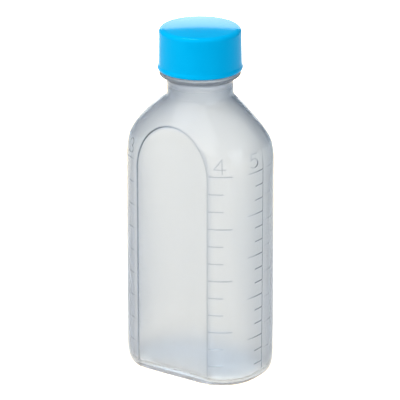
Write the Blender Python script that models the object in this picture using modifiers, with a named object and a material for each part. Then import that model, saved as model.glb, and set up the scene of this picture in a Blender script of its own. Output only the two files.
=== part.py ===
"""Small oval liquid-medicine bottle with a screw cap.

Blow-moulded bottle with two flat arched label panels, a round neck with a
support ring and a right-hand outside thread; screw cap with the matching
inside thread; soft sealing disc between the mouth and the cap.

Metres, +Z up. Origin: centre of the footprint, on the standing face.
X runs along the wide side of the oval, -Y is the front label panel.
"""

import math

import bmesh
import bpy
from mathutils import Vector

MM = 0.001

# ---- overall -------------------------------------------------------------
NAME = "liquid_medicine_bottle"
HALF_WIDTH = 25.4  # half the oval's long axis
PANEL_Y = 16.9  # the flat label panels lie at y = +-PANEL_Y
PANEL_HALF = 14.3  # half the width of a label panel
PANEL_SPRING = 73.0  # height where the panel's arch starts
PANEL_APEX = 90.1  # height of the arch's crown
WALL = 1.0
FLOOR = 1.3
ROUNDING = 2.2  # rounding between wall and standing face
PUSH_UP = 1.2  # how far the middle of the base is domed up
SEGMENTS = 56

# ---- shoulder: height, half width, half depth before the flats, exponent --
STRAIGHT = (HALF_WIDTH, 18.44, 2.70)
SHOULDER = (
    (76.0, 25.38, 18.40, 2.68),
    (79.3, 25.18, 18.30, 2.60),
    (82.5, 24.60, 18.28, 2.40),
    (85.5, 23.30, 18.32, 2.08),
    (87.8, 21.85, 18.10, 1.88),
    (90.1, 19.70, 16.90, 1.82),
    (92.2, 17.45, 15.00, 1.88),
    (94.1, 15.20, 13.45, 1.95),
    (95.8, 13.05, 12.15, 1.99),
    (97.0, 11.75, 11.55, 2.00),
)

# ---- neck ----------------------------------------------------------------
NECK_R = 11.24
NECK_BASE = 98.6
BORE_R = 9.7
MOUTH = 117.3
RING_R = 13.7
RING_TOP = 106.0
RING_EDGE = 104.6
RING_FOOT = 102.6

# ---- thread --------------------------------------------------------------
PITCH = 4.2
THREAD_R = 12.2  # crest of the outside thread
THREAD_START = 108.8
THREAD_TURNS = 1.5
THREAD_STEPS = 36  # per turn
CAP_THREAD_R = 11.65  # crest of the inside thread
CAP_THREAD_TURNS = 1.35
CAP_THREAD_DROP = 1.55  # the cap's thread lies this far under the bottle's

# ---- cap -----------------------------------------------------------------
CAP_TOP = 121.05
CAP_DOME = 0.5  # the top is slightly domed
CAP_RIM = 1.55  # radius of the rounded top edge
CAP_UPPER_R = 13.87
CAP_BOTTOM = 106.35
CAP_INNER_R = 12.6
CAP_CEILING = 118.9

# ---- sealing disc --------------------------------------------------------
LINER_R = 12.15
LINER_BOTTOM = 117.6
LINER_TOP = 118.6


def clear_scene():
    for obj in list(bpy.data.objects):
        bpy.data.objects.remove(obj, do_unlink=True)


def collection(name, hidden=False):
    made = bpy.data.collections.new(name)
    bpy.context.scene.collection.children.link(made)
    made.hide_render = hidden
    return made


def material(name, colour, roughness, transmission=0.0):
    made = bpy.data.materials.new(name)
    made.use_nodes = True
    shader = made.node_tree.nodes["Principled BSDF"]
    shader.inputs["Base Color"].default_value = (*colour, 1.0)
    shader.inputs["Roughness"].default_value = roughness
    shader.inputs["Transmission Weight"].default_value = transmission
    made.diffuse_color = (*colour, 1.0)
    return made


def mesh_object(name, bm, into):
    bmesh.ops.recalc_face_normals(bm, faces=bm.faces)
    mesh = bpy.data.meshes.new(name)
    bm.to_mesh(mesh)
    bm.free()
    obj = bpy.data.objects.new(name, mesh)
    into.objects.link(obj)
    return obj


def section(half_w, half_d, power, z, inset=0.0):
    """One ring of the oval: a superellipse pulled in by inset."""
    ring = []
    for i in range(SEGMENTS):
        t = 2 * math.pi * i / SEGMENTS
        c, s = math.cos(t), math.sin(t)
        x = half_w * math.copysign(abs(c) ** (2 / power), c)
        y = half_d * math.copysign(abs(s) ** (2 / power), s)
        nx = math.copysign(abs(c) ** (2 - 2 / power), c) / half_w
        ny = math.copysign(abs(s) ** (2 - 2 / power), s) / half_d
        size = math.hypot(nx, ny)
        ring.append(((x - inset * nx / size) * MM, (y - inset * ny / size) * MM, z * MM))
    return ring


def loft(name, rings, into):
    """Closed loft through rings of equal count, with flat ends."""
    bm = bmesh.new()
    loops = [[bm.verts.new(p) for p in ring] for ring in rings]
    for low, high in zip(loops, loops[1:]):
        for i in range(SEGMENTS):
            j = (i + 1) % SEGMENTS
            bm.faces.new((low[i], low[j], high[j], high[i]))
    bm.faces.new(loops[0][::-1])
    bm.faces.new(loops[-1])
    return mesh_object(name, bm, into)


def shrunk(half_w, half_d, power, z, share):
    return section(half_w * share, half_d * share, power, z)


def body_rings(inset, z_shift_floor):
    """The oval body without its flats, from the floor to above the shoulder."""
    a, b, n = STRAIGHT
    rings = []
    floor = z_shift_floor
    radius = ROUNDING - 0.6 * inset
    for k in range(4):
        g = math.pi / 2 * k / 3
        off = radius * (1 - math.sin(g))
        rings.append(section(a, b, n, floor + radius * (1 - math.cos(g)), inset + off))
    for z in (20.0, 40.0, 60.0):
        rings.append(section(a, b, n, z, inset))
    rings.append(section(a, b, n, PANEL_SPRING, inset))
    for z, aa, bb, nn in SHOULDER:
        rings.append(section(aa, bb, nn, z - inset * shoulder_drop(z), inset * shoulder_side(z)))
    return rings


def shoulder_drop(z):
    """The share of the wall that is measured downwards on the sloping shoulder."""
    t = min(max((z - PANEL_SPRING) / 12.0, 0.0), 1.0)
    return 0.75 * t * (1.0 if z < 96.5 else 0.4)


def shoulder_side(z):
    t = min(max((z - PANEL_SPRING) / 14.0, 0.0), 1.0)
    return 1.0 - 0.25 * t


def slab(name, half_y, into):
    bpy.ops.mesh.primitive_cube_add(size=1.0, location=(0, 0, 60 * MM))
    made = bpy.context.object
    made.name = name
    made.scale = (80 * MM, 2 * half_y * MM, 160 * MM)
    bpy.context.view_layer.update()
    made.data.transform(made.matrix_world)
    made.matrix_world.identity()
    for old in list(made.users_collection):
        old.objects.unlink(made)
    into.objects.link(made)
    return made


def lathe(name, profile, into, steps=SEGMENTS):
    """Turns a closed profile, given at +X from top to bottom on the outer side."""
    bm = bmesh.new()
    points = [bm.verts.new((r * MM, 0, z * MM)) for r, z in profile]
    for p, q in zip(points, points[1:] + points[:1]):
        if p.co.x > 1e-9 or q.co.x > 1e-9:
            bm.edges.new((p, q))
    mesh = bpy.data.meshes.new(name)
    bm.to_mesh(mesh)
    bm.free()
    obj = bpy.data.objects.new(name, mesh)
    into.objects.link(obj)
    screw = obj.modifiers.new("turn", "SCREW")
    screw.axis = "Z"
    screw.steps = steps
    screw.render_steps = steps
    screw.use_merge_vertices = True
    screw.merge_threshold = 0.00001
    screw.use_smooth_shade = True
    return obj


def helix(name, radius, start, turns, direction, height, root, crest, into):
    """A ridge swept along a right-hand helix, fading out at both ends.

    direction +1 stands out from radius, -1 stands in from it.
    """
    profile = bpy.data.curves.new(name + "_profile", "CURVE")
    profile.dimensions = "2D"
    spline = profile.splines.new("POLY")
    spline.use_cyclic_u = True
    sink = 0.35
    corners = [
        (-sink, -root / 2),
        (0.0, -root / 2),
        (height, -crest / 2),
        (height, crest / 2),
        (0.0, root / 2),
        (-sink, root / 2),
    ]
    spline.points.add(len(corners) - 1)
    for point, (out, up) in zip(spline.points, corners):
        point.co = (out * direction * MM, up * MM, 0, 1)
    profile_obj = bpy.data.objects.new(name + "_profile", profile)
    into.objects.link(profile_obj)

    path = bpy.data.curves.new(name, "CURVE")
    path.dimensions = "3D"
    path.twist_mode = "Z_UP"
    path.bevel_mode = "OBJECT"
    path.bevel_object = profile_obj
    path.use_fill_caps = True
    path.use_radius = True
    line = path.splines.new("POLY")
    count = int(round(turns * THREAD_STEPS)) + 1
    line.points.add(count - 1)
    fade = THREAD_STEPS / 6
    for i, point in enumerate(line.points):
        t = 2 * math.pi * i / THREAD_STEPS
        point.co = (
            radius * MM * math.cos(t),
            radius * MM * math.sin(t),
            (start + PITCH * i / THREAD_STEPS) * MM,
            1,
        )
        near_end = min(i, count - 1 - i)
        point.radius = 0.35 + 0.65 * min(near_end / fade, 1.0)
    obj = bpy.data.objects.new(name, path)
    into.objects.link(obj)
    return obj


def solid(source, into, name):
    """The evaluated mesh of source as a plain mesh object."""
    bpy.context.view_layer.update()
    graph = bpy.context.evaluated_depsgraph_get()
    mesh = bpy.data.meshes.new_from_object(source.evaluated_get(graph))
    bm = bmesh.new()
    bm.from_mesh(mesh)
    bmesh.ops.remove_doubles(bm, verts=bm.verts, dist=1e-8)
    bmesh.ops.recalc_face_normals(bm, faces=bm.faces)
    bm.to_mesh(mesh)
    bm.free()
    mesh.name = name
    obj = bpy.data.objects.new(name, mesh)
    into.objects.link(obj)
    return obj


def boolean(target, operation, other):
    mod = target.modifiers.new(operation.lower() + "_" + other.name, "BOOLEAN")
    mod.operation = operation
    mod.solver = "EXACT"
    mod.object = other
    return mod


def finish(obj, mat):
    obj.data.materials.clear()
    obj.data.materials.append(mat)
    for poly in obj.data.polygons:
        poly.use_smooth = True


def build_bottle(parts, cutters, mat):
    a, b, n = STRAIGHT
    outer = body_rings(0.0, 0.0)
    top = section(NECK_R, NECK_R, 2.0, NECK_BASE)
    outer.append(top)
    outer.append(section(NECK_R, NECK_R, 2.0, 103.5))
    outside = loft("outer_oval", outer, cutters)
    boolean(outside, "INTERSECT", slab("outer_flats", PANEL_Y, cutters))
    outside = solid(outside, cutters, "outer_body")

    inner = body_rings(WALL, FLOOR)
    inner.append(section(BORE_R, BORE_R, 2.0, NECK_BASE - 0.9))
    inner.append(section(BORE_R, BORE_R, 2.0, 112.0))
    inside = loft("inner_oval", inner, cutters)
    boolean(inside, "INTERSECT", slab("inner_flats", PANEL_Y - WALL, cutters))
    inside = solid(inside, cutters, "inner_body")

    # The neck, from the standing tube up to the mouth, with the support ring.
    neck = lathe(
        "neck_tube",
        (
            (BORE_R - 0.6, MOUTH + 0.0),
            (NECK_R - 0.35, MOUTH + 0.0),
            (NECK_R, MOUTH - 0.35),
            (NECK_R, RING_TOP + 0.45),
            (NECK_R + 0.45, RING_TOP),
            (RING_R - 0.25, RING_TOP),
            (RING_R, RING_TOP - 0.25),
            (RING_R, RING_EDGE),
            (NECK_R + 1.2, RING_EDGE - 0.75),
            (NECK_R + 0.06, RING_FOOT),
            (NECK_R - 0.5, RING_FOOT - 0.6),
            (BORE_R - 0.6, RING_FOOT - 0.6),
        ),
        cutters,
    )
    neck = solid(neck, cutters, "neck_solid")
    bore = lathe(
        "bore",
        ((0.0, MOUTH + 2.0), (BORE_R, MOUTH + 2.0), (BORE_R, 103.0), (0.0, 103.0)),
        cutters,
    )
    bore = solid(bore, cutters, "bore_solid")
    thread = helix(
        "bottle_thread", NECK_R, THREAD_START, THREAD_TURNS, 1, THREAD_R - NECK_R, 1.7, 0.7, cutters
    )
    thread = solid(thread, cutters, "bottle_thread_solid")

    # A shallow dome pressed up into the base, outside and in.
    dome = loft(
        "push_up",
        [
            shrunk(a, b - 1.6, 2.3, -1.0, 0.80),
            shrunk(a, b - 1.6, 2.3, 0.0, 0.78),
            shrunk(a, b - 1.6, 2.3, PUSH_UP * 0.75, 0.62),
            shrunk(a, b - 1.6, 2.3, PUSH_UP, 0.36),
        ],
        cutters,
    )
    floor_dome = loft(
        "floor_dome",
        [
            shrunk(a, b - 1.6, 2.3, 0.9, 0.80),
            shrunk(a, b - 1.6, 2.3, FLOOR, 0.79),
            shrunk(a, b - 1.6, 2.3, FLOOR + PUSH_UP * 0.75, 0.63),
            shrunk(a, b - 1.6, 2.3, FLOOR + PUSH_UP, 0.37),
        ],
        cutters,
    )

    boolean(inside, "DIFFERENCE", floor_dome)
    inside = solid(inside, cutters, "inner_space")
    bottle = outside
    boolean(bottle, "UNION", neck)
    boolean(bottle, "UNION", thread)
    boolean(bottle, "DIFFERENCE", dome)
    boolean(bottle, "DIFFERENCE", bore)
    boolean(bottle, "DIFFERENCE", inside)
    bottle = solid(bottle, parts, "bottle")
    finish(bottle, mat)
    return bottle


def build_cap(parts, cutters, mat):
    rim_r, rim_z = CAP_UPPER_R - CAP_RIM, CAP_TOP - CAP_DOME - CAP_RIM
    top = [(r, CAP_TOP - CAP_DOME * (r / rim_r) ** 2) for r in (0.0, 6.0, 9.5, 12.2)]
    for step in range(1, 6):
        angle = math.radians(90 - 18 * step)
        top.append((rim_r + CAP_RIM * math.cos(angle), rim_z + CAP_RIM * math.sin(angle)))
    shell = lathe(
        "cap_shell",
        (
            *top,
            (14.12, 107.9),
            (14.36, 107.35),
            (14.42, 106.95),
            (14.30, 106.55),
            (14.00, CAP_BOTTOM),
            (13.05, CAP_BOTTOM),
            (CAP_INNER_R, CAP_BOTTOM + 0.45),
            (CAP_INNER_R, CAP_CEILING - 0.3),
            (CAP_INNER_R - 0.3, CAP_CEILING),
            (0.0, CAP_CEILING),
        ),
        cutters,
    )
    shell = solid(shell, cutters, "cap_shell_solid")
    thread = helix(
        "cap_thread",
        CAP_INNER_R,
        THREAD_START + PITCH - CAP_THREAD_DROP - 0.6,
        CAP_THREAD_TURNS,
        -1,
        CAP_INNER_R - CAP_THREAD_R,
        1.5,
        0.6,
        cutters,
    )
    thread = solid(thread, cutters, "cap_thread_solid")
    boolean(shell, "UNION", thread)
    cap = solid(shell, parts, "cap")
    finish(cap, mat)
    return cap


def build_liner(parts, mat):
    liner = lathe(
        "cap_liner_turned",
        (
            (0.0, LINER_TOP),
            (LINER_R - 0.15, LINER_TOP),
            (LINER_R, LINER_TOP - 0.15),
            (LINER_R, LINER_BOTTOM + 0.15),
            (LINER_R - 0.15, LINER_BOTTOM),
            (0.0, LINER_BOTTOM),
        ),
        parts,
    )
    made = solid(liner, parts, "cap_liner")
    bpy.data.objects.remove(liner, do_unlink=True)
    finish(made, mat)
    return made


def main():
    clear_scene()
    cutters = collection("cutters", hidden=True)
    parts = collection(NAME)
    build_bottle(parts, cutters, material("bottle", (0.86, 0.88, 0.88), 0.35, 0.6))
    build_cap(parts, cutters, material("cap", (0.01, 0.42, 0.86), 0.35))
    build_liner(parts, material("cap_liner", (0.93, 0.93, 0.91), 0.6))
    for obj in cutters.objects:
        obj.hide_render = True
        obj.display_type = "WIRE"
    for obj in parts.objects:
        assert Vector(obj.location).length == 0


main()
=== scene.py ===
"""Looks for the oval liquid-medicine bottle: milky see-through body, blue screw cap, sealing disc."""

import math

import bpy
import numpy as np
from mathutils import Matrix, Vector


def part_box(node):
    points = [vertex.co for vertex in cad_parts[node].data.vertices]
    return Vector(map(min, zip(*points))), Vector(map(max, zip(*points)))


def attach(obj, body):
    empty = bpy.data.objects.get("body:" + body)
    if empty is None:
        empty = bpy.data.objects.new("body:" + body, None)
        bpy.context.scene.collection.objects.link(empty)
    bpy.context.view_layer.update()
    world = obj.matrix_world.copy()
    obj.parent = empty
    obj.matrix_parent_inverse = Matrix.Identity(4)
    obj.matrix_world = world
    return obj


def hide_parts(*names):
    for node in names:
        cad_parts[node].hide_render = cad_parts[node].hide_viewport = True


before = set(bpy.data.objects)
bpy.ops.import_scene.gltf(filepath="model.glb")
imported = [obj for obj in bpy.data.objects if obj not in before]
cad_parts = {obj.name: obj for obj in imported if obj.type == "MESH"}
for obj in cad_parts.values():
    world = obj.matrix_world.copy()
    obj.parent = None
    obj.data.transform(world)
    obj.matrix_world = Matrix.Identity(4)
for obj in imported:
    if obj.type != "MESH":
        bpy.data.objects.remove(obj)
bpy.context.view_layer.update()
MM = 0.001

# ------------------------------------------------------------------ sizes, mm
HALF_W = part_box("bottle")[1].x / MM
PANEL_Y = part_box("bottle")[1].y / MM
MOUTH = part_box("bottle")[1].z / MM
CAP_TOP = 121.05
CAP_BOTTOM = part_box("cap")[0].z / MM
PANEL_HALF, SPRING, APEX = 14.3, 73.0, 90.1
NECK_R, NECK_Z = 11.24, 97.37
BORE_R = 9.7
WALL = 0.95
RECESS = 0.40
RECESS_RAMP = 0.36
SCALE_TOP, SCALE_ZERO = 75.5, 1.4
PITCH, THREAD_START, THREAD_TURNS, THREAD_R = 4.2, 108.8, 1.5, 12.2


def hermite(xs, ys):
    """Monotone cubic through the points."""
    xs, ys = np.array(xs, float), np.array(ys, float)
    h, d = np.diff(xs), np.diff(ys) / np.diff(xs)
    m = np.zeros_like(ys)
    for i in range(1, len(xs) - 1):
        if d[i - 1] * d[i] > 0:
            w1, w2 = 2 * h[i] + h[i - 1], h[i] + 2 * h[i - 1]
            m[i] = (w1 + w2) / (w1 / d[i - 1] + w2 / d[i])
    m[0], m[-1] = d[0], d[-1]

    def at(x):
        x = np.asarray(x, float)
        i = np.clip(np.searchsorted(xs, x) - 1, 0, len(h) - 1)
        t = (x - xs[i]) / h[i]
        over = np.where(t > 1, (t - 1) * h[i] * m[i + 1], 0)
        under = np.where(t < 0, t * h[i] * m[i], 0)
        t = np.clip(t, 0, 1)
        return (
            (2 * t**3 - 3 * t**2 + 1) * ys[i]
            + (t**3 - 2 * t**2 + t) * h[i] * m[i]
            + (-2 * t**3 + 3 * t**2) * ys[i + 1]
            + (t**3 - t**2) * h[i] * m[i + 1]
            + over
            + under
        )

    return at


half_width = hermite(
    [-5, 70, 76.37, 81.37, 85.37, 88.37, 90.77, 92.97, 94.77, 96.17, 97.37],
    [HALF_W, HALF_W, HALF_W - 0.02, 24.94, 23.46, 21.37, 18.98, 16.58, 14.31, 12.59, 11.24],
)


def smooth(t):
    t = np.clip(t, 0, 1)
    return t * t * (3 - 2 * t)


def outline(z):
    """Half the label panel's width at a height."""
    t = np.clip((z - SPRING) / (APEX - SPRING), 0, 1)
    return PANEL_HALF * np.sqrt(np.maximum(1 - t * t, 0))


def oval(z):
    """Half width, half depth before the flats, and exponent of the section at z."""
    a = half_width(z)
    f = np.clip((a - NECK_R) / (25.48 - NECK_R), 0, 1)
    n = 2 + 0.7 * f**4.04 - 0.347 * np.sin(np.pi * f**2.39)
    xp = np.minimum(outline(z) / a, 0.98)
    low = PANEL_Y / np.maximum(1 - xp**n, 1e-4) ** (1 / n)
    g = (NECK_Z - z) / (NECK_Z - APEX)
    high = NECK_R + (PANEL_Y - NECK_R) * np.sign(g) * np.abs(g) ** 1.2
    high = np.where(g < 0, NECK_R + 1.0 * g * (NECK_Z - APEX), high)
    b = np.where(z < APEX, low, high)
    return a, b, n


def polar(theta, a, b, n):
    c, s = np.abs(np.cos(theta)), np.abs(np.sin(theta))
    return ((c / a) ** n + (s / b) ** n) ** (-1 / n)


# ------------------------------------------------- the scales, in surface mm
# Arc length round the straight section, 0 at the right-hand parting line,
# growing towards the front panel.
_t = np.linspace(0, 2 * np.pi, 4001)
_a, _b, _n = (float(v) for v in oval(40.0))
_r = polar(_t, _a, _b, _n)
_x, _y = _r * np.cos(_t), np.clip(_r * np.sin(_t), -PANEL_Y, PANEL_Y)
_len = np.concatenate([[0], np.cumsum(np.hypot(np.diff(_x), np.diff(_y)))])
GIRTH = float(_len[-1])


def arc(theta):
    """Arc length at a polar angle."""
    return np.interp(np.mod(theta, 2 * np.pi), _t, _len)


_edge = int(np.argmax(_x[:1000] < PANEL_HALF))
EDGE = float(_len[_edge])  # tip to panel edge, along the surface


STROKES = []  # (s0, z0, s1, z1, half width, height)


def stroke(points, half, tall):
    for (s0, z0), (s1, z1) in zip(points, points[1:]):
        STROKES.append((s0, z0, s1, z1, half, tall))


def arc_points(cx, cz, rx, rz, a0, a1, count=9):
    return [
        (
            cx + rx * math.cos(math.radians(a0 + (a1 - a0) * i / (count - 1))),
            cz + rz * math.sin(math.radians(a0 + (a1 - a0) * i / (count - 1))),
        )
        for i in range(count)
    ]


DIGITS = {
    "4": [[(0.72, 0.0), (0.72, 1.0), (0.0, 0.3), (1.0, 0.3)]],
    "5": [
        [(0.9, 1.0), (0.2, 1.0), (0.12, 0.56)]
        + arc_points(0.45, 0.33, 0.5, 0.33, 130, -140, 12)
    ],
    "3": [
        arc_points(0.45, 0.76, 0.42, 0.24, 150, -80, 9)
        + arc_points(0.45, 0.26, 0.5, 0.27, 85, -150, 11)
    ],
    "6": [
        [(0.8, 1.0), (0.35, 0.72)]
        + arc_points(0.5, 0.3, 0.46, 0.3, 150, -210, 16)
    ],
}


def digit(name, s, z, wide, tall, way, half=0.2, height=0.17):
    """A numeral whose left lower corner is at (s, z); way is +1 if s grows to the reader's right."""
    for line in DIGITS[name]:
        stroke([(s + way * wide * px, z + tall * pz) for px, pz in line], half, height)


def scale(doses, s_start, long, short, way, half=0.19, height=0.19):
    step = (SCALE_TOP - SCALE_ZERO) / (doses * 3)
    for k in range(1, doses * 3 + 1):
        length = long if (doses * 3 - k) % 3 == 0 else short
        z = SCALE_ZERO + step * k
        stroke([(s_start, z), (s_start + way * length, z)], half, height)


# s runs 0 at the right parting line; front right is s < 0 (that is, GIRTH - s).
G, H = GIRTH, GIRTH / 2
FR_EDGE = G - EDGE  # front panel's right edge
FL_EDGE = H + EDGE  # front panel's left edge
BR_EDGE = EDGE  # back panel's right edge
BL_EDGE = H - EDGE  # back panel's left edge
# front right: 4 beside the panel, 5 beside the parting line
scale(4, FR_EDGE + 0.5, 7.9, 4.8, 1, 0.21, 0.32)
digit("4", FR_EDGE + 2.2, 76.5, 4.0, 5.0, 1, 0.23, 0.26)
scale(5, G - 0.25, 7.2, 3.8, -1, 0.2, 0.21)
digit("5", G - 6.7, 77.2, 3.9, 4.7, 1, 0.21, 0.22)
# front left: 3 beside the panel, 6 beside the parting line
scale(3, FL_EDGE - 0.5, 7.5, 4.8, -1, 0.19, 0.07)
digit("3", FL_EDGE - 5.8, 77.4, 3.3, 4.9, 1, 0.19, 0.10)
scale(6, H + 0.25, 5.6, 3.0, 1, 0.19, 0.06)
digit("6", H + 1.6, 77.2, 3.3, 4.9, 1, 0.19, 0.08)
# back right and back left
for k in range(1, 9):  # eight faint steps
    z = SCALE_ZERO + (SCALE_TOP - SCALE_ZERO) / 8 * k
    stroke([(1.6, z), (6.4 if k % 2 == 0 else 4.6, z)], 0.19, 0.05)
digit("3", BR_EDGE - 5.6, 77.4, 3.3, 4.9, 1, 0.19, 0.10)
scale(3, BR_EDGE - 0.5, 6.8, 4.2, -1, 0.19, 0.10)
scale(4, BL_EDGE + 0.5, 8.0, 5.2, 1)
digit("4", BL_EDGE + 2.3, 77.4, 3.5, 4.9, 1)
scale(5, H - 0.25, 6.0, 3.2, -1)
digit("5", H - 5.7, 77.2, 3.6, 4.9, 1)
S0, Z0, S1, Z1, SW, SH = (np.array(v) for v in zip(*STROKES))


def nearest_stroke(s, z, margin=0.0):
    """Distance to each point's nearest stroke edge, and the raised height there."""
    best = np.full(s.shape, 1e3)
    high = np.zeros(s.shape)
    order = np.argsort(z)
    zs = z[order]
    for i in range(len(S0)):
        lo = np.searchsorted(zs, min(Z0[i], Z1[i]) - 2.5 - margin)
        hi = np.searchsorted(zs, max(Z0[i], Z1[i]) + 2.5 + margin)
        at = order[lo:hi]
        if not len(at):
            continue
        dx, dz = S1[i] - S0[i], Z1[i] - Z0[i]
        t = ((s[at] - S0[i]) * dx + (z[at] - Z0[i]) * dz) / max(dx * dx + dz * dz, 1e-9)
        t = np.clip(t, 0, 1)
        d = np.hypot(s[at] - S0[i] - t * dx, z[at] - Z0[i] - t * dz)
        best[at] = np.minimum(best[at], d - SW[i])
        high[at] = np.maximum(high[at], SH[i] * smooth(1.25 * (1 - d / (SW[i] * 1.35))))
    return best, high


# ------------------------------------------------------ the bottle's surface
# The bottle is one closed skin, addressed by u (round it, 0 to 1) and v (along
# its profile: base, body, neck, lip, bore, inner wall, floor).
BODY_Z0, BODY_Z1, BODY_ROWS = 2.2, 101.2, 45
BASE = [  # inset from the wall or share of the standing outline, and height
    ("k", 0.06, 1.80), ("k", 0.32, 1.74), ("k", 0.58, 1.50), ("k", 0.78, 1.0),
    ("k", 0.90, 0.38), ("k", 0.965, 0.06), ("k", 1.0, 0.0),
    ("d", 1.25, 0.0), ("d", 0.9, 0.05), ("d", 0.56, 0.22), ("d", 0.30, 0.55),
    ("d", 0.12, 1.05), ("d", 0.02, 1.60), ("d", 0.0, 2.2),
]
NECK = [  # radius, height, on the outside from the body up to the lip and in
    (NECK_R, 101.2), (NECK_R + 0.02, 102.2), (NECK_R + 0.25, 102.9), (NECK_R + 0.95, 103.6),
    (12.9, 104.05), (13.4, 104.35), (13.62, 104.55), (13.70, 104.8), (13.70, 105.6), (13.6, 105.88),
    (13.35, 106.0), (12.4, 106.02), (11.75, 106.05), (11.35, 106.2), (NECK_R, 106.5),
    (NECK_R, 107.2), (NECK_R, 108.2), (NECK_R, 109.2), (NECK_R, 110.2), (NECK_R, 111.2),
    (NECK_R, 112.2), (NECK_R, 113.2), (NECK_R, 114.2), (NECK_R, 115.2), (NECK_R, 116.1),
    (NECK_R, 116.8), (NECK_R - 0.12, 117.12), (NECK_R - 0.4, MOUTH), (BORE_R + 0.4, MOUTH),
    (BORE_R + 0.12, MOUTH - 0.12), (BORE_R, MOUTH - 0.45),
]
BORE = [  # the ring is blown hollow, so its wall is no thicker than the neck's
    (BORE_R, MOUTH - 0.45), (BORE_R, 113.0), (BORE_R, 108.2), (BORE_R + 0.1, 106.9), (10.6, 106.0),
    (12.2, 105.62), (12.66, 105.35), (12.66, 105.0), (12.3, 104.82), (11.2, 104.3), (10.3, 103.6),
    (BORE_R + 0.1, 102.8), (BORE_R, 102.0), (BORE_R, 101.0),
]
IN_Z0, IN_Z1, IN_ROWS = 100.9, 4.0, 44
FLOOR = [
    ("d", 0.0, 4.0), ("d", 0.12, 3.0), ("d", 0.5, 2.1), ("d", 1.1, 1.4), ("d", 1.9, 1.0),
    ("d", 2.9, 0.88), ("k", 1.0, 0.88), ("k", 0.93, 1.12), ("k", 0.82, 1.75), ("k", 0.62, 2.35),
    ("k", 0.35, 2.65), ("k", 0.06, 2.72),
]
V_BASE = len(BASE) - 1
V_BODY = V_BASE + BODY_ROWS
V_NECK = V_BODY + len(NECK) - 1
V_BORE = V_NECK + len(BORE) - 1
V_IN = V_BORE + IN_ROWS
V_END = V_IN + len(FLOOR) - 1
COLUMNS = 64
LEVELS = 4
FINE = 2**LEVELS


def flat_section(theta, a, b, n, plane, crease, x_scale=1.0, recess=True):
    """A point of the oval at theta, and how far it lies inside the crease; the front and back are not cut
    flat.
    """
    r = polar(theta, a, b, n)
    x, y = r * np.cos(theta), r * np.sin(theta)
    inside = crease - np.abs(x)
    return x, y, inside


def inner_shift(z):
    """On the inner skin: the height of the outer skin it lies under, and its inset."""
    t = np.clip((z - (SPRING - 2)) / 14.0, 0, 1)
    up = 0.72 * WALL * t * np.clip((100.5 - z) / 3.0, 0, 1)
    thick = np.clip((z - (SPRING + 6)) / 16.0, 0, 1)  # the wall thickens towards the neck
    return z + up, WALL * (1 - 0.25 * t + 0.8 * thick)


def crease_at(a, b, n, plane):
    q = np.clip(1 - np.clip(plane / b, 0, 1) ** n, 0, 1)
    return a * q ** (1 / n)


def arch_inside(x, z, inset=0.0):
    """How far a point lies inside the panel's outline, in mm, negative outside."""
    half, apex = PANEL_HALF - inset, APEX - inset
    side = half - np.abs(x)
    q = np.sqrt((x / half) ** 2 + (np.maximum(z - SPRING, 0) / (apex - SPRING)) ** 2)
    grad = np.hypot(x / half**2, np.maximum(z - SPRING, 0) / (apex - SPRING) ** 2)
    arch = (1 - q) * q / np.maximum(grad, 1e-4)
    return np.where(z > SPRING, arch, side)


def heel(theta, z):
    """Inset of the rounded bottom edge: tight along the broad faces, fuller at the ends."""
    w = smooth((np.abs(np.cos(theta)) - 0.50) / 0.36)
    wide, tall = 0.35 + 1.05 * w, 4.0 + 1.3 * w
    t = np.clip(1 - z / tall, 0, 1)
    return wide * (1 - np.sqrt(1 - t * t))


def flatten(y, plane, z):
    """Cuts the section flat at plane, with the corner rounded off near the bottom."""
    k = 1.1 * smooth(1 - z / 6.0)
    y_abs = np.abs(y)
    soft = 0.5 * (y_abs + plane - np.sqrt((y_abs - plane) ** 2 + k * k))
    return np.sign(y) * soft


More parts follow.
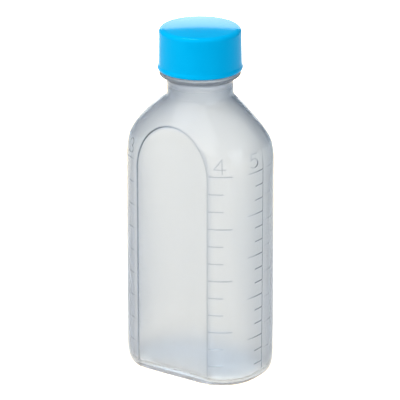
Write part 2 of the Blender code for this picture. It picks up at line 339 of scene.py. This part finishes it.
def skin(u, v):
    """Maps addresses to points in mm."""
    theta = 2 * np.pi * u
    out = np.zeros((len(u), 3))
    line = np.zeros(len(u))
    c, s = np.cos(theta), np.sin(theta)

    def straight(mask, d, z, inner):
        a, b, n = (float(q) for q in oval(20.0))
        d = d + WALL if inner else heel(theta[mask], np.where(d > 1.24, 0.0, z))
        aa, bb, plane = a - d, b - d, PANEL_Y - d
        r = polar(theta[mask], aa, bb, n)
        x, y = r * c[mask], r * s[mask]
        crease = crease_at(aa, bb, n, plane)
        ins = crease - np.abs(x)
        return x, flatten(y, plane - RECESS * smooth(ins / RECESS_RAMP), np.maximum(z, 0.0))

    def rows(table, first):
        """d, k and z along a base-like table."""
        kinds = np.array([1.0 if t[0] == "k" else 0.0 for t in table])
        vals = np.array([t[1] for t in table])
        zz = np.array([t[2] for t in table])
        flip = [t[0] for t in table]
        dd = np.where(kinds > 0, max(v for k, v, _ in table if k == "d"), vals)
        kk = np.where(kinds > 0, vals, 1.0)
        idx = np.arange(len(table))
        return (
            lambda w: hermite(idx, dd)(w) if False else np.interp(w, idx, dd),
            lambda w: np.interp(w, idx, kk),
            hermite(idx, zz),
        )

    # base
    m = v <= V_BASE
    if m.any():
        fd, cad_, fz = rows(BASE, 0)
        w = v[m]
        d, k, z = fd(w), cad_(w), fz(w)
        x, y = straight(m, d, z, False)
        out[m] = np.stack([x * k, y * k, z], -1)

    # body, outside
    m = (v > V_BASE) & (v <= V_BODY)
    if m.any():
        z = BODY_Z0 + (BODY_Z1 - BODY_Z0) * (v[m] - V_BASE) / BODY_ROWS
        a, b, n = oval(z)
        low = heel(theta[m], z)
        r = polar(theta[m], np.maximum(a - low, 2.0), np.maximum(b - low, 2.0), n)
        kn = 0.55
        r = np.where(z > 90, 0.5 * (r + NECK_R + np.sqrt((r - NECK_R) ** 2 + kn**2)), r)
        r = np.where(z > 99.5, r + (NECK_R - r) * smooth((z - 99.5) / 1.7), r)
        x, y = r * c[m], r * s[m]
        ins = arch_inside(x, z)
        plane = PANEL_Y - low - RECESS * smooth(ins / RECESS_RAMP)
        y = flatten(y, np.where(z > APEX + 0.4, 99.0, plane), z)
        # raised scales and the parting line
        sa = arc(theta[m])
        _, high = nearest_stroke(sa, z)
        # painted shade: the colour is darkened on the raised strokes, along the panel's arch crease and
        # along the parting line, standing in for their shadows and refraction
        painted_line_shade = np.clip(high / 0.30, 0, 1) * 0.8
        rim = smooth(1 - np.abs(ins - 0.1) / 0.6) * (z < APEX + 0.4) * (np.abs(s[m]) > 0.3)
        painted_line_shade = np.maximum(painted_line_shade, rim * np.where(x * y < 1.0, 0.8, 0.3 + 0.7 * smooth((z - SPRING + 4) / 10)))
        away = np.minimum(np.abs(np.mod(sa + H / 2, H) - H / 2), 50)
        fade = smooth((z - 2.0) / 2) * smooth((88.0 - z) / 12)  # it dies out up the shoulder
        line[m] = np.maximum(painted_line_shade, 0.5 * smooth(1 - away / 0.4) * fade)
        part = 0.11 * smooth(1.25 * (1 - away / 0.24)) * fade
        high = np.maximum(high, part)
        rr = np.hypot(x, y)
        grow = 1 + high / rr
        out[m] = np.stack([x * grow, y * grow, z], -1)

    # neck, ring, thread and lip
    m = (v > V_BODY) & (v <= V_BORE)
    if m.any():
        prof = NECK + BORE[1:]
        idx = np.arange(len(prof))
        w = v[m] - V_BODY
        r = np.interp(w, idx, [p[0] for p in prof])
        z = np.interp(w, idx, [p[1] for p in prof])
        turn = np.zeros_like(r)
        outer = w < 25.5
        for k in range(-1, 4):
            phase = u[m] + k  # turns travelled along the helix
            zc = THREAD_START + PITCH * phase
            ok = outer & (phase > -0.02) & (phase < THREAD_TURNS + 0.02)
            fade = smooth(phase / 0.12) * smooth((THREAD_TURNS - phase) / 0.12)
            off = np.abs(z - zc)
            ridge = smooth((0.86 - off) / 0.5)
            turn = np.where(ok, np.maximum(turn, ridge * fade), turn)
        r = r + turn * (THREAD_R - NECK_R)
        out[m] = np.stack([r * c[m], r * s[m], z], -1)

    # inner skin
    m = (v > V_BORE) & (v <= V_IN)
    if m.any():
        z = IN_Z0 + (IN_Z1 - IN_Z0) * (v[m] - V_BORE) / IN_ROWS
        zo, inset = inner_shift(z)
        a, b, n = oval(zo)
        a, b = np.maximum(a - inset, 2.0), np.maximum(b - inset, 2.0)
        r = polar(theta[m], a, b, n)
        r = np.where(z > 88, 0.5 * (r + BORE_R + np.sqrt((r - BORE_R) ** 2 + 1.2**2)), r)
        r = np.where(z > 98.0, r + (BORE_R - r) * smooth((z - 98.0) / 2.6), r)
        x, y = r * c[m], r * s[m]
        top = np.interp(zo, [84, 93], [0.0, 0.25])
        y = np.sign(y) * np.minimum(
            np.abs(y), np.where(zo > APEX + 1.5, 99.0, PANEL_Y - RECESS - WALL + top)
        )
        out[m] = np.stack([x, y, z], -1)

    # floor, inside
    m = v > V_IN
    if m.any():
        fd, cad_, fz = rows(FLOOR, 0)
        w = v[m] - V_IN
        d, k, z = fd(w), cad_(w), fz(w)
        x, y = straight(m, d, z, True)
        out[m] = np.stack([x * k, y * k, z], -1)
    return out, line


def refine():
    """Cells of the skin: big where it is plain, small along creases, strokes and ridges."""
    iu, iv = np.meshgrid(np.arange(COLUMNS), np.arange(V_END), indexing="ij")
    cells = [(iu.ravel() * FINE, iv.ravel() * FINE, 0)]
    done = []
    while cells:
        ci, cj, level = cells.pop()
        size = FINE >> level
        if level == LEVELS:
            done.append((ci, cj, size))
            continue
        cu, cv = (ci + size / 2) / (COLUMNS * FINE), (cj + size / 2) / FINE
        s, z = arc(2 * np.pi * cu), BODY_Z0 + (BODY_Z1 - BODY_Z0) * (cv - V_BASE) / BODY_ROWS
        body = (cv > V_BASE) & (cv < V_BODY)
        reach = 2.2 * size / FINE
        split = np.zeros(len(ci), bool)
        # plain surfaces
        split |= level < 1
        neck = (cv > V_BODY) & (cv < V_NECK)
        split |= neck & (level < 2)
        split |= (cv < V_BASE) & (level < 2) & (cv > 5)
        shoulder = body & (z > 70) & (z < 101)
        split |= shoulder & (level < 2)
        if body.any():
            near = np.full(len(ci), 1e3)
            near[body], _ = nearest_stroke(s[body], z[body], 2.0)
            split |= near < 0.10 + 0.75 * reach
            r = polar(2 * np.pi * cu, *(np.maximum(q, 1.0) for q in oval(z)))
            x = r * np.cos(2 * np.pi * cu)
            crease = np.abs(arch_inside(x, z) - 0.15)
            crease = np.where(body & (z < APEX + 2) & (np.abs(np.sin(2 * np.pi * cu)) > 0.3), crease, 1e3)
            split |= crease < 0.35 + 0.8 * reach
            part = np.minimum(np.mod(s, H), H - np.mod(s, H))
            split |= body & (part < 0.2 + 0.6 * reach) & (level < LEVELS - 0)
        # the crease goes on down round the base
        low = (cv > 6) & (cv <= V_BASE)
        if low.any():
            part = np.minimum(np.abs(s - BR_EDGE), np.abs(s - BL_EDGE))
            part = np.minimum(part, np.minimum(np.abs(s - FR_EDGE), np.abs(s - FL_EDGE)))
            split |= low & (part < 0.8 + reach) & (level < 3)
        for pick, next_level in ((split, level + 1),):
            if pick.any():
                half = size // 2
                a, b = ci[pick], cj[pick]
                cells.append(
                    (
                        np.concatenate([a, a + half, a, a + half]),
                        np.concatenate([b, b, b + half, b + half]),
                        next_level,
                    )
                )
        keep = ~split
        if keep.any():
            done.append((ci[keep], cj[keep], size))
    return done


def build_skin(name):
    wrap = COLUMNS * FINE
    cells = refine()
    corners = set()
    for ci, cj, size in cells:
        for di, dj in ((0, 0), (size, 0), (0, size), (size, size)):
            corners.update(zip(((ci + di) % wrap).tolist(), (cj + dj).tolist()))
    keys = sorted(corners)
    index = {k: i for i, k in enumerate(keys)}
    arr = np.array(keys, float)
    verts, line = skin(arr[:, 0] / wrap, arr[:, 1] / FINE)
    verts = verts * MM

    def edge(i0, j0, i1, j1, into):
        """Adds the points strictly between two corners, in order."""
        if abs(i1 - i0) + abs(j1 - j0) < 2:
            return
        im, jm = (i0 + i1) // 2, (j0 + j1) // 2
        got = index.get((im % wrap, jm))
        if got is None:
            return
        edge(i0, j0, im, jm, into)
        into.append(got)
        edge(im, jm, i1, j1, into)

    faces = []
    for ci, cj, size in cells:
        for i, j in zip(ci.tolist(), cj.tolist()):
            ring = []
            pts = ((i, j), (i + size, j), (i + size, j + size), (i, j + size))
            for k in range(4):
                (i0, j0), (i1, j1) = pts[k], pts[(k + 1) % 4]
                ring.append(index[(i0 % wrap, j0)])
                edge(i0, j0, i1, j1, ring)
            faces.append(ring)
    first = [index[k] for k in keys if k[1] == 0]
    last = [index[k] for k in keys if k[1] == V_END * FINE]
    faces.append(first[::-1])
    faces.append(last)
    mesh = bpy.data.meshes.new(name)
    mesh.from_pydata(verts.tolist(), [], faces)
    dull = mesh.attributes.new("inside", "FLOAT", "POINT")
    at = arr[:, 1] / FINE
    ring = 0.5 * smooth((at - V_BODY + 1.5) / 2) + 0.9 * smooth((at - V_BODY - 1) / 3)
    ring = np.where((at > V_BODY - 2) & (at < V_NECK - 1), ring, 0.0)
    dull.data.foreach_set("value", np.maximum(ring, np.clip(at - V_NECK, 0, 1)))
    # painted shade: how much the bottle's colour is darkened at each point along strokes, crease and
    # parting line
    thick = mesh.attributes.new("painted_shade", "FLOAT", "POINT")
    thick.data.foreach_set("value", line)
    mesh.polygons.foreach_set("use_smooth", [True] * len(mesh.polygons))
    mesh.update()
    obj = bpy.data.objects.new(name, mesh)
    bpy.context.scene.collection.objects.link(obj)
    return obj


bottle = build_skin("bottle_skin")
print("bottle faces", len(bottle.data.polygons))


# ------------------------------------------------------------- turned pieces
def turned(name, profile, columns=224, shape=None):
    """A closed turned piece from (radius, height) points; the ends lie on the axis."""
    prof = np.array(profile, float)
    rings = len(prof) - 2
    theta = np.arange(columns) * 2 * np.pi / columns
    verts = [(0.0, 0.0, prof[0][1] * MM)]
    for k in range(1, rings + 1):
        r = np.full(columns, prof[k][0])
        z = np.full(columns, prof[k][1])
        if shape is not None:
            r, z = shape(k, theta, r, z)
        verts += np.stack([r * np.cos(theta), r * np.sin(theta), z], -1).dot(MM).tolist()
    verts.append((0.0, 0.0, prof[-1][1] * MM))
    faces = []
    for i in range(columns):
        j = (i + 1) % columns
        faces.append((0, 1 + i, 1 + j))
        for k in range(rings - 1):
            a, b = 1 + k * columns, 1 + (k + 1) * columns
            faces.append((a + i, b + i, b + j, a + j))
        a = 1 + (rings - 1) * columns
        faces.append((a + i, len(verts) - 1, a + j))
    mesh = bpy.data.meshes.new(name)
    mesh.from_pydata([tuple(v) for v in verts], [], faces)
    mesh.polygons.foreach_set("use_smooth", [True] * len(mesh.polygons))
    mesh.update()
    obj = bpy.data.objects.new(name, mesh)
    bpy.context.scene.collection.objects.link(obj)
    return obj


def cap_profile():
    top, dome, rim = CAP_TOP, 0.5, 1.55
    pts = [(0.0, top)]
    for r in (2.0, 4.0, 6.0, 8.0, 9.5, 10.8, 11.8):
        pts.append((r, top - dome * (r / 12.3) ** 2))
    for k in range(0, 12):  # rounded rim
        a = math.radians(86 - 7.8 * k)
        pts.append((13.87 - rim + rim * math.cos(a), top - dome - rim + rim * math.sin(a)))
    low = top - dome - rim
    for k in range(1, 13):  # slightly tapered skirt
        t = k / 12
        pts.append((13.87 + 0.25 * t, low + (108.15 - low) * t))
    pts += [
        (14.15, 107.95), (14.23, 107.75), (14.32, 107.5), (14.39, 107.2), (14.42, 106.95),
        (14.40, 106.75), (14.34, 106.58), (14.24, 106.45), (14.1, 106.37), (13.95, CAP_BOTTOM),
        (13.2, CAP_BOTTOM), (13.0, CAP_BOTTOM + 0.05), (12.8, CAP_BOTTOM + 0.25), (12.62, CAP_BOTTOM + 0.5),
    ]
    z = CAP_BOTTOM + 0.75
    while z < 118.3:
        pts.append((12.6, z))
        z += 0.22
    pts += [(12.6, 118.45), (12.5, 118.7), (12.3, 118.86), (12.0, 118.9), (6.0, 118.9), (0.0, 118.9)]
    return pts


CAP_PROFILE = cap_profile()
CAP_START = THREAD_START + PITCH - 1.55 - 0.6


def cap_shape(k, theta, r, z):
    if abs(CAP_PROFILE[k][0] - 12.6) < 1e-6:
        turn = np.zeros_like(theta)
        for n in range(-1, 3):
            phase = theta / (2 * np.pi) + n
            zc = CAP_START + PITCH * phase
            fade = smooth(phase / 0.12) * smooth((1.35 - phase) / 0.12)
            ridge = smooth((0.78 - np.abs(z - zc)) / 0.5)
            turn = np.maximum(turn, np.where((phase > 0) & (phase < 1.35), ridge * fade, 0))
        r = r - turn * 0.95
    return r, z


cap = turned("cap_shell", CAP_PROFILE, 224, cap_shape)
liner_lo, liner_hi = (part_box("cap_liner")[i].z / MM for i in (0, 1))
liner = turned(
    "sealing_disc",
    [
        (0.0, liner_hi), (6.0, liner_hi), (11.7, liner_hi), (12.0, liner_hi - 0.04),
        (12.12, liner_hi - 0.14), (12.15, liner_hi - 0.28), (12.10, liner_hi - 0.36),
        (12.15, liner_hi - 0.44), (12.15, liner_lo + 0.25), (12.1, liner_lo + 0.1),
        (11.95, liner_lo + 0.02), (11.7, liner_lo), (11.3, liner_lo), (11.1, liner_lo + 0.03),
        (9.9, liner_lo + 0.03), (9.7, liner_lo), (6.0, liner_lo), (0.0, liner_lo),
    ],
    160,
)


# ----------------------------------------------------------------- materials
class Nodes:
    def __init__(self, name):
        self.mat = bpy.data.materials.new(name)
        self.mat.use_nodes = True
        self.tree = self.mat.node_tree
        self.shader = self.tree.nodes["Principled BSDF"]
        self.out = self.tree.nodes["Material Output"]
        coords = self.tree.nodes.new("ShaderNodeTexCoord")
        self.at = coords.outputs["Object"]

    def noise(self, scale, detail=3.0, rough=0.5, stretch=None):
        n = self.tree.nodes.new("ShaderNodeTexNoise")
        n.inputs["Scale"].default_value = scale
        n.inputs["Detail"].default_value = detail
        n.inputs["Roughness"].default_value = rough
        source = self.at
        if stretch:
            m = self.tree.nodes.new("ShaderNodeMapping")
            m.inputs["Scale"].default_value = stretch
            self.tree.links.new(source, m.inputs["Vector"])
            source = m.outputs["Vector"]
        self.tree.links.new(source, n.inputs["Vector"])
        return n.outputs["Fac"]

    def ramp(self, fac, stops):
        r = self.tree.nodes.new("ShaderNodeValToRGB")
        r.color_ramp.elements[0].position, r.color_ramp.elements[0].color = stops[0]
        r.color_ramp.elements[1].position, r.color_ramp.elements[1].color = stops[-1]
        for pos, col in stops[1:-1]:
            e = r.color_ramp.elements.new(pos)
            e.color = col
        self.tree.links.new(fac, r.inputs["Fac"])
        return r.outputs["Color"]

    def span(self, fac, low, high):
        m = self.tree.nodes.new("ShaderNodeMapRange")
        m.inputs["To Min"].default_value = low
        m.inputs["To Max"].default_value = high
        self.tree.links.new(fac, m.inputs["Value"])
        return m.outputs["Result"]

    def bump(self, fac, strength, distance, before=None):
        b = self.tree.nodes.new("ShaderNodeBump")
        b.inputs["Strength"].default_value = strength
        b.inputs["Distance"].default_value = distance
        self.tree.links.new(fac, b.inputs["Height"])
        if before is not None:
            self.tree.links.new(before, b.inputs["Normal"])
        return b.outputs["Normal"]

    def set(self, **values):
        for key, value in values.items():
            socket = self.shader.inputs[key.replace("_", " ")]
            if hasattr(value, "is_linked") or isinstance(value, bpy.types.NodeSocket):
                self.tree.links.new(value, socket)
            else:
                socket.default_value = value


def put(obj, nodes):
    obj.data.materials.clear()
    obj.data.materials.append(nodes.mat)


OUT_ROUGH, IN_ROUGH, CLEAR = 0.17, 0.42, 0.85
pp = Nodes("milky_polypropylene")
flow = pp.noise(60, 3, 0.55, (1.0, 1.0, 0.35))
side = pp.tree.nodes.new("ShaderNodeAttribute")  # 0 outside, 1 inside, more on the thick ring
side.attribute_name = "inside"
dull = pp.span(side.outputs["Fac"], OUT_ROUGH, 2 * IN_ROUGH - OUT_ROUGH)
dull.node.inputs["From Max"].default_value = 2.0
uneven = pp.tree.nodes.new("ShaderNodeMath")
uneven.operation = "ADD"
pp.tree.links.new(dull, uneven.inputs[0])
pp.tree.links.new(pp.span(pp.noise(140, 4), -0.02, 0.02), uneven.inputs[1])
# painted shade: the base colour is multiplied towards a dark grey-blue where the painted-shade attribute is
# set
painted_shade = pp.tree.nodes.new("ShaderNodeAttribute")
painted_shade.attribute_name = "painted_shade"
shade_multiply = pp.tree.nodes.new("ShaderNodeMix")
shade_multiply.data_type = "RGBA"
shade_multiply.blend_type = "MULTIPLY"
pp.tree.links.new(painted_shade.outputs["Fac"], shade_multiply.inputs[0])
pp.tree.links.new(
    pp.ramp(flow, [(0.3, (0.94, 0.94, 0.94, 1)), (0.7, (0.96, 0.96, 0.96, 1))]), shade_multiply.inputs[6]
)
shade_multiply.inputs[7].default_value = (0.42, 0.46, 0.49, 1)
pp.set(
    Base_Color=shade_multiply.outputs[2],
    Roughness=uneven.outputs["Value"],
    Transmission_Weight=CLEAR,
    IOR=1.48,
    Normal=pp.bump(pp.noise(900, 2), 0.025, 0.00003, pp.bump(flow, 0.2, 0.0003)),
)
absorb = pp.tree.nodes.new("ShaderNodeVolumeAbsorption")
absorb.inputs["Color"].default_value = (0.15, 0.31, 0.525, 1)
absorb.inputs["Density"].default_value = 325.0
pp.tree.links.new(absorb.outputs["Volume"], pp.out.inputs["Volume"])
put(bottle, pp)

blue = Nodes("blue_polypropylene")
cloud = blue.noise(90, 3, 0.5)
blue.set(
    Base_Color=blue.ramp(cloud, [(0.3, (0.000, 0.39, 0.735, 1)), (0.7, (0.001, 0.415, 0.76, 1))]),
    Roughness=blue.span(blue.noise(260, 4), 0.08, 0.11),
    IOR=1.49,
    Specular_IOR_Level=0.10,
    Specular_Tint=(0.0, 0.75, 1.0, 1),
    Normal=blue.bump(blue.noise(1500, 2), 0.05, 0.00003, blue.bump(blue.noise(45, 2), 0.05, 0.0004)),
)
put(cap, blue)

foam = Nodes("foamed_sheet")
cell = foam.noise(1400, 3, 0.6)
foam.set(
    Base_Color=foam.ramp(cell, [(0.3, (0.82, 0.82, 0.80, 1)), (0.7, (0.93, 0.93, 0.91, 1))]),
    Roughness=foam.span(cell, 0.55, 0.72),
    Normal=foam.bump(cell, 0.5, 0.0001),
)
put(liner, foam)

for piece, node, body, slot in (
    (bottle, "bottle", "bottle", "bottle"),
    (cap, "cap", "cap", "cap"),
    (liner, "cap_liner", "liner", "cap_liner"),
):
    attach(piece, body)
    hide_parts(node)

# ---------------------------------------------------------------- the studio
POOL, DIM, NEAR, FAR = 1.0, 0.38, 2.10, 3.15
WARM, COOL = (1.0, 0.865, 0.66), (0.76, 0.86, 0.90)
floor_mesh = bpy.data.meshes.new("floor")
floor_mesh.from_pydata([(-6, -6, 0), (6, -6, 0), (6, 6, 0), (-6, 6, 0)], [], [(0, 1, 2, 3)])
floor = bpy.data.objects.new("floor", floor_mesh)
bpy.context.scene.collection.objects.link(floor)
floor.location.z = -0.0001
# The floor glows: its emission paints light, a bright pool behind the bottle, dimmer elsewhere, warm near
# and cool far
white = bpy.data.materials.new("glowing_floor")
white.use_nodes = True
wt = white.node_tree
wp = wt.nodes["Principled BSDF"]
wp.inputs["Base Color"].default_value = (0.12, 0.12, 0.12, 1)
wp.inputs["Roughness"].default_value = 0.9
wp.inputs["Specular IOR Level"].default_value = 0.1
spread = wt.nodes.new("ShaderNodeTexCoord")
turn = wt.nodes.new("ShaderNodeMapping")
turn.vector_type = "TEXTURE"
turn.inputs["Rotation"].default_value = (0, 0, math.radians(34.286))
ahead, left = 0.30, 0.035  # from the bottle, seen from the camera
turn.inputs["Location"].default_value = (
    -ahead * math.sin(math.radians(34.286)) - left * math.cos(math.radians(34.286)),
    ahead * math.cos(math.radians(34.286)) - left * math.sin(math.radians(34.286)),
    0,
)
turn.inputs["Scale"].default_value = (0.30, 0.75, 1)
far = wt.nodes.new("ShaderNodeVectorMath")
far.operation = "LENGTH"
pool = wt.nodes.new("ShaderNodeMapRange")
pool.interpolation_type = "SMOOTHSTEP"
pool.inputs["From Min"].default_value = 0.5
pool.inputs["From Max"].default_value = 0.74
pool.inputs["To Min"].default_value = POOL
pool.inputs["To Max"].default_value = DIM
wt.links.new(spread.outputs["Object"], turn.inputs["Vector"])
wt.links.new(turn.outputs["Vector"], far.inputs[0])
wt.links.new(far.outputs["Value"], pool.inputs["Value"])
under = wt.nodes.new("ShaderNodeMapping")  # the light table is brighter right under the bottle
under.vector_type = "TEXTURE"
under.inputs["Scale"].default_value = (0.0254, 0.0175, 1)
under_at = wt.nodes.new("ShaderNodeVectorMath")
under_at.operation = "LENGTH"
under_glow = wt.nodes.new("ShaderNodeMapRange")
under_glow.interpolation_type = "SMOOTHSTEP"
under_glow.inputs["From Min"].default_value = 0.80
under_glow.inputs["From Max"].default_value = 1.02
under_glow.inputs["To Min"].default_value = 1.36
under_glow.inputs["To Max"].default_value = 1.0
times = wt.nodes.new("ShaderNodeMath")
times.operation = "MULTIPLY"
apart = wt.nodes.new("ShaderNodeSeparateXYZ")
deeper = wt.nodes.new("ShaderNodeMapRange")
deeper.inputs["From Min"].default_value = -0.40
deeper.inputs["From Max"].default_value = 0.10
deeper.inputs["To Min"].default_value = NEAR
deeper.inputs["To Max"].default_value = FAR
twice = wt.nodes.new("ShaderNodeMath")
twice.operation = "MULTIPLY"
tone = wt.nodes.new("ShaderNodeMix")
tone.data_type = "RGBA"
cool = wt.nodes.new("ShaderNodeMapRange")
cool.inputs["From Min"].default_value = 0.5
cool.inputs["From Max"].default_value = 0.74
tone.inputs[6].default_value = WARM + (1,)
tone.inputs[7].default_value = COOL + (1,)
wt.links.new(far.outputs["Value"], cool.inputs["Value"])
wt.links.new(cool.outputs["Result"], tone.inputs[0])
# beside the bottle and in front of it the floor is plain white, no brighter than it has to be
aside = wt.nodes.new("ShaderNodeMath")
aside.operation = "ABSOLUTE"
beside = wt.nodes.new("ShaderNodeMapRange")
beside.interpolation_type = "SMOOTHSTEP"
beside.inputs["From Min"].default_value = 0.05
beside.inputs["From Max"].default_value = 0.13
close = wt.nodes.new("ShaderNodeMapRange")
close.interpolation_type = "SMOOTHSTEP"
close.inputs["From Min"].default_value = -0.34
close.inputs["From Max"].default_value = -0.10
close.inputs["To Min"].default_value = 1.0
close.inputs["To Max"].default_value = 0.0
plain = wt.nodes.new("ShaderNodeMath")
plain.operation = "MULTIPLY"
even = wt.nodes.new("ShaderNodeMix")
even.data_type = "RGBA"
even.inputs[7].default_value = (0.96, 0.98, 0.98, 1)
level = wt.nodes.new("ShaderNodeMix")
level.inputs[3].default_value = 1.10
wt.links.new(aside.outputs["Value"], beside.inputs["Value"])
front = wt.nodes.new("ShaderNodeMapRange")
front.interpolation_type = "SMOOTHSTEP"
front.inputs["From Min"].default_value = -0.455
front.inputs["From Max"].default_value = -0.425
front.inputs["To Min"].default_value = 1.0
front.inputs["To Max"].default_value = 0.0
either = wt.nodes.new("ShaderNodeMath")
either.operation = "MAXIMUM"
wt.links.new(beside.outputs["Result"], plain.inputs[0])
wt.links.new(close.outputs["Result"], plain.inputs[1])
wt.links.new(plain.outputs["Value"], either.inputs[0])
wt.links.new(front.outputs["Result"], either.inputs[1])
inside_pool = wt.nodes.new("ShaderNodeMath")
inside_pool.operation = "MULTIPLY"
wt.links.new(either.outputs["Value"], inside_pool.inputs[0])
wt.links.new(pool.outputs["Result"], inside_pool.inputs[1])
wt.links.new(inside_pool.outputs["Value"], even.inputs[0])
wt.links.new(inside_pool.outputs["Value"], level.inputs[0])
wt.links.new(tone.outputs[2], even.inputs[6])
# painted light: the glow under the bottle's footprint takes a greyer tint
beneath = wt.nodes.new("ShaderNodeMapRange")
beneath.interpolation_type = "SMOOTHSTEP"
beneath.inputs["From Min"].default_value = 0.80
beneath.inputs["From Max"].default_value = 1.02
beneath.inputs["To Min"].default_value = 1.0
beneath.inputs["To Max"].default_value = 0.0
cooler = wt.nodes.new("ShaderNodeMix")
cooler.data_type = "RGBA"
cooler.inputs[7].default_value = (0.80, 0.835, 0.80, 1)
wt.links.new(beneath.outputs["Result"], cooler.inputs[0])
wt.links.new(even.outputs[2], cooler.inputs[6])
wt.links.new(cooler.outputs[2], wp.inputs["Emission Color"])
wt.links.new(spread.outputs["Object"], under.inputs["Vector"])
wt.links.new(under.outputs["Vector"], under_at.inputs[0])
wt.links.new(under_at.outputs["Value"], under_glow.inputs["Value"])
wt.links.new(under_at.outputs["Value"], beneath.inputs["Value"])
wt.links.new(under_glow.outputs["Result"], times.inputs[0])
wt.links.new(turn.outputs["Vector"], apart.inputs["Vector"])
wt.links.new(apart.outputs["Y"], deeper.inputs["Value"])
wt.links.new(deeper.outputs["Result"], twice.inputs[0])
wt.links.new(pool.outputs["Result"], twice.inputs[1])
wt.links.new(twice.outputs["Value"], level.inputs[2])
centred = wt.nodes.new("ShaderNodeMath")
centred.operation = "SUBTRACT"
centred.inputs[1].default_value = left / 0.30
wt.links.new(apart.outputs["X"], centred.inputs[0])
wt.links.new(centred.outputs["Value"], aside.inputs[0])
wt.links.new(apart.outputs["Y"], close.inputs["Value"])
wt.links.new(apart.outputs["Y"], front.inputs["Value"])
wt.links.new(level.outputs[0], times.inputs[1])
wt.links.new(times.outputs["Value"], wp.inputs["Emission Strength"])
floor.data.materials.append(white)

scene = bpy.context.scene
world = bpy.data.worlds.new("studio")
scene.world = world
world.use_nodes = True
wn = world.node_tree
bg = wn.nodes["Background"]
bg.inputs["Color"].default_value = (0.5, 0.77, 1.0, 1)
bg.inputs["Strength"].default_value = 0.19


def softbox(name, azimuth, elevation, distance, size, power, colour=(1, 1, 1), target=(0, 0, 0.06)):
    data = bpy.data.lights.new(name, "AREA")
    data.shape = "RECTANGLE"
    data.size, data.size_y = size
    data.energy = power
    data.color = colour
    obj = bpy.data.objects.new(name, data)
    scene.collection.objects.link(obj)
    a, e = math.radians(azimuth), math.radians(elevation)
    way = Vector((math.sin(a) * math.cos(e), -math.cos(a) * math.cos(e), math.sin(e)))
    obj.location = Vector(target) + way * distance
    obj.rotation_mode = "QUATERNION"
    obj.rotation_quaternion = way.to_track_quat("Z", "Y")
    return obj


softbox("key", -9, 42, 0.9, (1.2, 1.1), 6.0)
softbox("fill", 74, 20, 1.0, (0.6, 0.7), 2.5, (0.86, 0.93, 1.0))
softbox("back", 214.3, 0, 1.6, (1.3, 0.63), 6.6, target=(0, 0, 0.345))
softbox("top", -40, 74, 1.3, (0.55, 0.55), 11.0)

# ---------------------------------------------------------------- the camera
AZ, EL, DIST, AIM_Z = 34.286, 20.188, 1.004055, 0.059231
FOCAL_PX = 2.947278 * 1004.055
cam_data = bpy.data.cameras.new("camera")
cam_data.sensor_width = 36.0
cam_data.lens = FOCAL_PX / 400.0 * 36.0
cam_data.clip_start, cam_data.clip_end = 0.1, 20.0
cam = bpy.data.objects.new("camera", cam_data)
scene.collection.objects.link(cam)
a, e = math.radians(AZ), math.radians(EL)
back = Vector((math.sin(a) * math.cos(e), -math.cos(a) * math.cos(e), math.sin(e)))
right = Vector((math.cos(a), math.sin(a), 0))
cam.location = Vector((0, 0, AIM_Z)) + back * DIST - right * (0.15 / 2947.278)
cam.rotation_mode = "QUATERNION"
cam.rotation_quaternion = (
    Matrix.Rotation(math.radians(0.0), 3, back) @ back.to_track_quat("Z", "Y").to_matrix()
).to_quaternion()
scene.camera = cam
scene.view_settings.view_transform = "Standard"
scene.view_settings.look = "None"
scene.cycles.use_denoising = True
scene.cycles.max_bounces = 16
scene.cycles.transmission_bounces = 14
